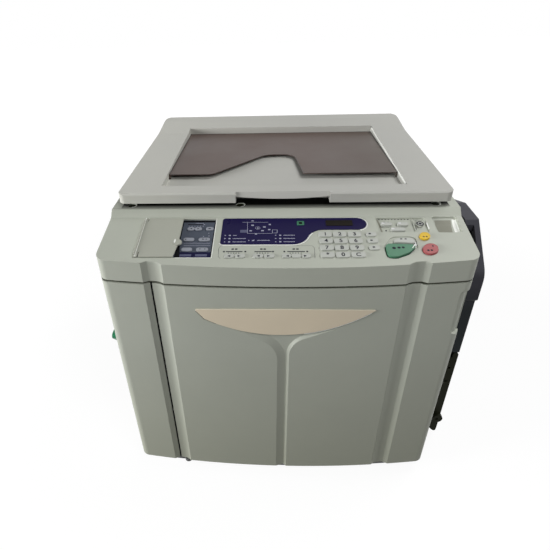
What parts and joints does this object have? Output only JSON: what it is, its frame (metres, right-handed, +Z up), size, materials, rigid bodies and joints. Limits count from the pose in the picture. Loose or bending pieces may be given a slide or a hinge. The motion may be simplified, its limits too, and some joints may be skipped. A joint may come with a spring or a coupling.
{
  "type": "digital duplicator",
  "caption": "Floor or stand-mounted digital duplicator with a platen cover, tilted control panel, hinged front door and paper trays folded up at both sides.",
  "frame": {"origin": "on the floor, under the middle of the stored machine's footprint", "axes": "+Z up, +X to the operator's right, -Y towards the operator"},
  "size_m": [0.778, 0.6744, 0.639],
  "materials": {
    "body_plastic": "fine-textured light grey-green moulding",
    "cover_plastic": "fine-textured light grey moulding",
    "inner_plastic": "dark grey moulding",
    "black_plastic": "olive-black moulding",
    "slate_plastic": "dark slate moulding",
    "green_plastic": "green grip",
    "frame_steel": "dark painted sheet steel",
    "foot_rubber": "black rubber",
    "roller_rubber": "black rubber",
    "drum_screen": "steel mesh screen",
    "display_navy": "glossy navy window",
    "lcd_brown": "dark display glass",
    "led_green": "green lamp",
    "key_grey": "pale grey key",
    "start_green": "green key",
    "trial_yellow": "yellow key",
    "stop_pink": "pink-red key",
    "keypad_blue": "dark blue-grey panel",
    "clear_glass": "clear float glass",
    "smoked_plastic": "smoked brown sheet",
    "white_mat": "white foam mat",
    "badge_beige": "bare beige plate"
  },
  "bodies": {
    "housing": {"base_frame": "frame_steel", "foot_front_left": "foot_rubber", "foot_front_right": "foot_rubber", "foot_back_left": "foot_rubber", "foot_back_right": "foot_rubber", "main_housing": "inner_plastic", "left_side_panel": "body_plastic", "right_side_panel": "body_plastic", "rear_panel": "body_plastic", "corner_panel": "body_plastic", "inner_cover": "inner_plastic", "print_drum": "drum_screen", "drum_frame": "inner_plastic", "drum_handle": "green_plastic", "ink_cartridge": "black_plastic", "control_panel": "body_plastic", "display_window": "display_navy", "lcd_window": "lcd_brown", "status_led": "led_green", "setting_keys": "key_grey", "number_keys": "key_grey", "mode_keys": "key_grey", "selector_knob": "key_grey", "start_key": "start_green", "trial_key": "trial_yellow", "stop_key": "stop_pink", "interval_key": "key_grey", "sub_keypad": "keypad_blue", "sub_keypad_keys": "key_grey", "top_housing": "body_plastic", "platen_glass": "clear_glass", "cover_hinges": "frame_steel", "delivery_bracket": "black_plastic", "feed_bracket": "black_plastic", "feed_rollers": "roller_rubber"},
    "cover": {"platen_cover": "cover_plastic", "document_pocket": "smoked_plastic", "platen_pad": "white_mat"},
    "door": {"front_door": "body_plastic", "door_badge": "badge_beige"},
    "receiving_tray": {"receiving_tray": "slate_plastic", "tray_fences": "black_plastic"},
    "feed_tray": {"feed_tray": "slate_plastic", "feed_guide_lever": "green_plastic"},
    "flap": {"sub_panel_flap": "body_plastic"}
  },
  "joints": [
    {"name": "cover_hinge", "type": "hinge", "parent": "housing", "child": "cover", "pos_m": [0, 0.32675, 0.6178], "axis": [-1, 0, 0], "range_deg": [0, 75]},
    {"name": "door_hinge", "type": "hinge", "parent": "housing", "child": "door", "pos_m": [-0.214, -0.31275, 0.277], "axis": [0, 0, -1], "range_deg": [0, 110]},
    {"name": "receiving_tray_hinge", "type": "hinge", "parent": "housing", "child": "receiving_tray", "pos_m": [0.379, -0.02925, 0.266], "axis": [0, 1, 0], "range_deg": [0, 90]},
    {"name": "feed_tray_hinge", "type": "hinge", "parent": "housing", "child": "feed_tray", "pos_m": [-0.379, 0.02925, 0.215], "axis": [0, -1, 0], "range_deg": [0, 90]},
    {"name": "flap_hinge", "type": "hinge", "parent": "housing", "child": "flap", "pos_m": [-0.257, -0.25556, 0.58132], "axis": [0, -0.9848, -0.1736], "range_deg": [0, 110]}
  ]
}
